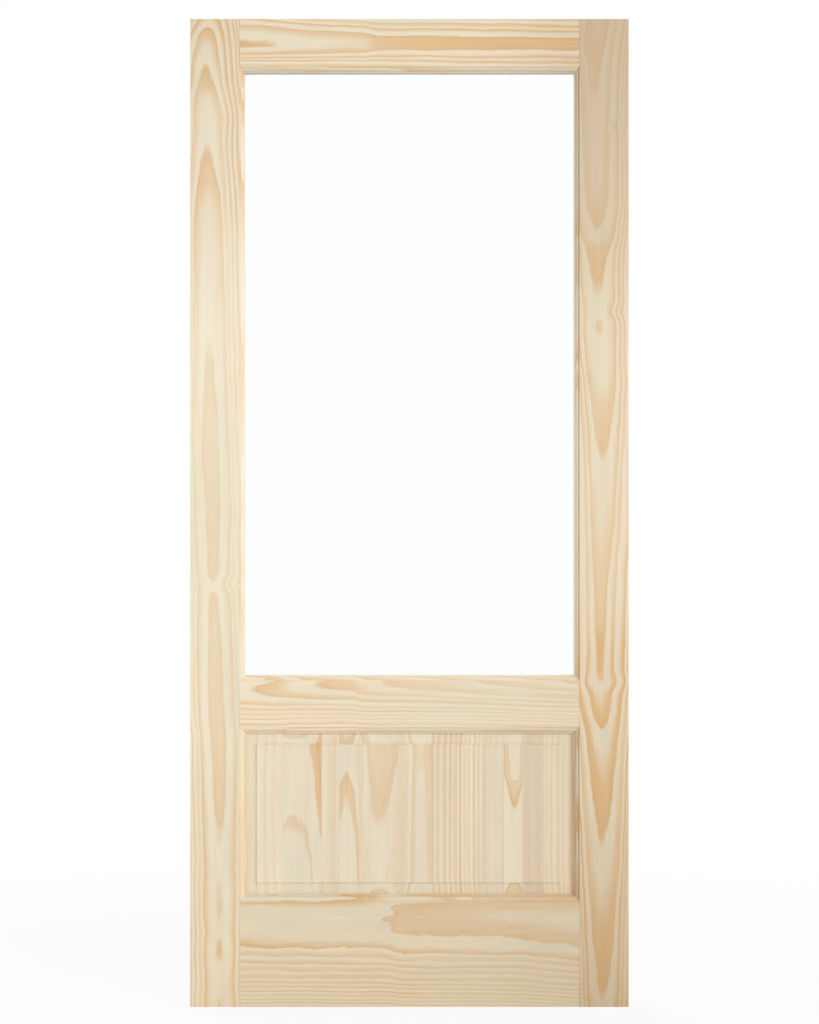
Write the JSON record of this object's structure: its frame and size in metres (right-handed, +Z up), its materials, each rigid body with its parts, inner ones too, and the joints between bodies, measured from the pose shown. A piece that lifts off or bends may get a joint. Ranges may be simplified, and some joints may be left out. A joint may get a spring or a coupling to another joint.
{
  "type": "exterior door",
  "caption": "Unfinished softwood exterior door leaf with a tall glazed opening over a wide raised panel, framed by doweled stiles and rails with moulded inner edges.",
  "frame": {"origin": "middle of the bottom edge, halfway through the thickness", "axes": "+X to the right seen from outdoors, +Y indoors through the leaf, +Z up"},
  "size_m": [0.9018, 0.0444, 2.032],
  "materials": {
    "pine_frame": "bare planed and sanded softwood, matt",
    "pine_panel": "bare sanded softwood staves, matt",
    "pine_bead": "bare moulded softwood, matt",
    "dowel_wood": "bare fluted hardwood",
    "clear_glass": "clear float glass",
    "spacer_metal": "mill finish",
    "key_plastic": "moulded nylon",
    "desiccant_beads": "packed beads",
    "butyl": "soft butyl strip",
    "sealant": "cured sealant",
    "glazing_tape": "closed-cell foam tape",
    "brad_steel": "bright steel wire",
    "block_rubber": "hard rubber"
  },
  "bodies": {
    "root": {"left_stile": "pine_frame", "right_stile": "pine_frame", "top_rail": "pine_frame", "lock_rail": "pine_frame", "bottom_rail": "pine_frame", "panel_stave_01": "pine_panel", "panel_stave_02": "pine_panel", "panel_stave_03": "pine_panel", "panel_stave_04": "pine_panel", "panel_stave_05": "pine_panel", "panel_stave_06": "pine_panel", "panel_stave_07": "pine_panel", "panel_stave_08": "pine_panel", "panel_stave_09": "pine_panel", "panel_stave_10": "pine_panel", "panel_stave_11": "pine_panel", "panel_stave_12": "pine_panel", "glazing_bead_bottom": "pine_bead", "glazing_bead_right": "pine_bead", "glazing_bead_top": "pine_bead", "glazing_bead_left": "pine_bead", "top_rail_dowels": "dowel_wood", "lock_rail_dowels": "dowel_wood", "bottom_rail_dowels": "dowel_wood", "glass_pane_outdoor": "clear_glass", "glass_pane_indoor": "clear_glass", "spacer_bar_bottom": "spacer_metal", "spacer_bar_right": "spacer_metal", "spacer_bar_top": "spacer_metal", "spacer_bar_left": "spacer_metal", "spacer_corner_keys": "key_plastic", "desiccant": "desiccant_beads", "primary_seal_outdoor": "butyl", "primary_seal_indoor": "butyl", "edge_sealant": "sealant", "glazing_tape_outdoor": "glazing_tape", "glazing_tape_indoor": "glazing_tape", "bead_brads": "brad_steel", "setting_blocks": "block_rubber", "panel_pads": "block_rubber"}
  },
  "joints": []
}
